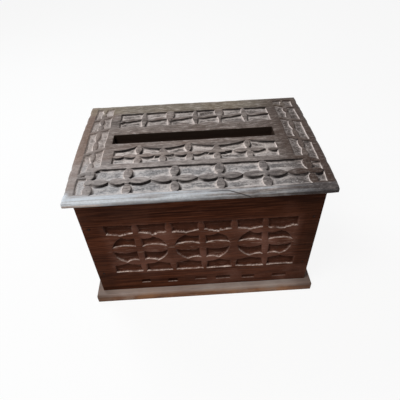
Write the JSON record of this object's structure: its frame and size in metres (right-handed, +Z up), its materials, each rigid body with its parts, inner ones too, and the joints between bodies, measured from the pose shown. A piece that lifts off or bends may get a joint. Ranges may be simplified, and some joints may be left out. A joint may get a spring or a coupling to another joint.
{
  "type": "carved slot box",
  "caption": "Carved wooden box on a wider base board, with a long slot in its hinged, slightly crowned lid and bands of petals, crosses and rosettes in low relief.",
  "frame": {"origin": "middle of the base board's underside", "axes": "+X to the right along the front, +Y from the front to the hinged rear, +Z up"},
  "size_m": [0.263, 0.178, 0.1742],
  "materials": {
    "lid_wood": "grey-brown stain, worn pale in the carved hollows, satin",
    "wall_wood": "dark red-brown stain, satin",
    "base_wood": "brown stain, worn at the edges, satin",
    "raw_wood": "bare wood, matt",
    "steel": "plain steel, dulled",
    "brass": "aged brass"
  },
  "bodies": {
    "box": {"base_board": "base_wood", "front_panel": "wall_wood", "back_panel": "wall_wood", "left_panel": "wall_wood", "right_panel": "wall_wood", "front_pins": "steel", "back_pins": "steel", "base_screws": "steel", "hinge_box_screws": "brass", "left_hinge_box_leaf": "brass", "right_hinge_box_leaf": "brass", "left_hinge_pin": "steel", "right_hinge_pin": "steel"},
    "lid": {"lid_board": "lid_wood", "left_batten": "raw_wood", "right_batten": "raw_wood", "batten_screws": "brass", "hinge_lid_screws": "brass", "left_hinge_lid_leaf": "brass", "right_hinge_lid_leaf": "brass"}
  },
  "joints": [
    {"name": "lid_hinge", "type": "hinge", "parent": "box", "child": "lid", "pos_m": [0, 0.0818, 0.1602], "axis": [-1, 0, 0], "range_deg": [0, 106]}
  ]
}
